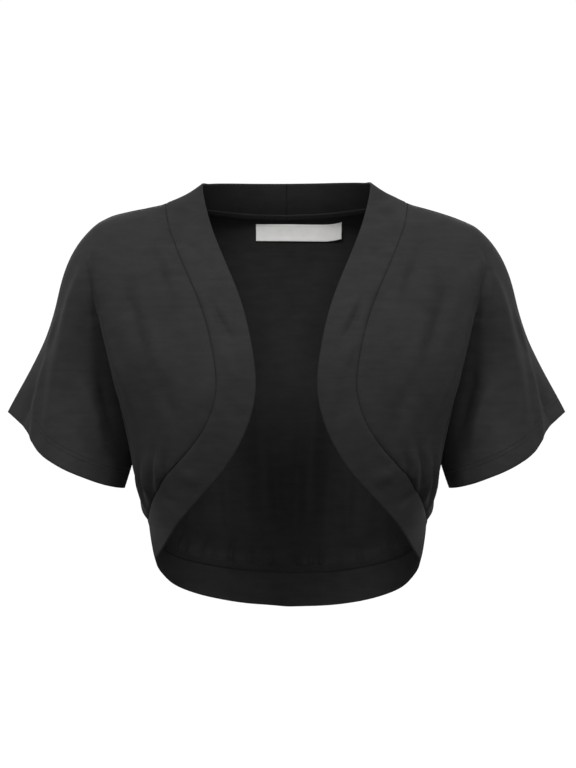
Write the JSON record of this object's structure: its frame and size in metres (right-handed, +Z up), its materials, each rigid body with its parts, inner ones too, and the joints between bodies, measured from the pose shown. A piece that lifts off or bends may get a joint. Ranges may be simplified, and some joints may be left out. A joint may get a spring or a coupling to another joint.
{
  "type": "bolero jacket",
  "caption": "Short-sleeved open-front bolero jacket in dark jersey, held in its worn shape, with cut-on sleeves and a wide doubled band round neck, fronts and hem",
  "frame": {"origin": "on the middle plane, at the height where the shoulders meet the neck band, above the line of the shoulder seams, where the wearer holds it up", "axes": "+X to the wearer's left, +Y to the wearer's back, +Z up; the open front faces -Y"},
  "size_m": [0.5358, 0.2242, 0.4144],
  "materials": {
    "jersey": "fine knit, soft and matte",
    "label_satin": "woven satin"
  },
  "bodies": {
    "root": {"front_left": "jersey", "front_right": "jersey", "back": "jersey", "band_left": "jersey", "band_right": "jersey", "band_back_hem": "jersey", "neck_label": "label_satin"}
  },
  "joints": []
}
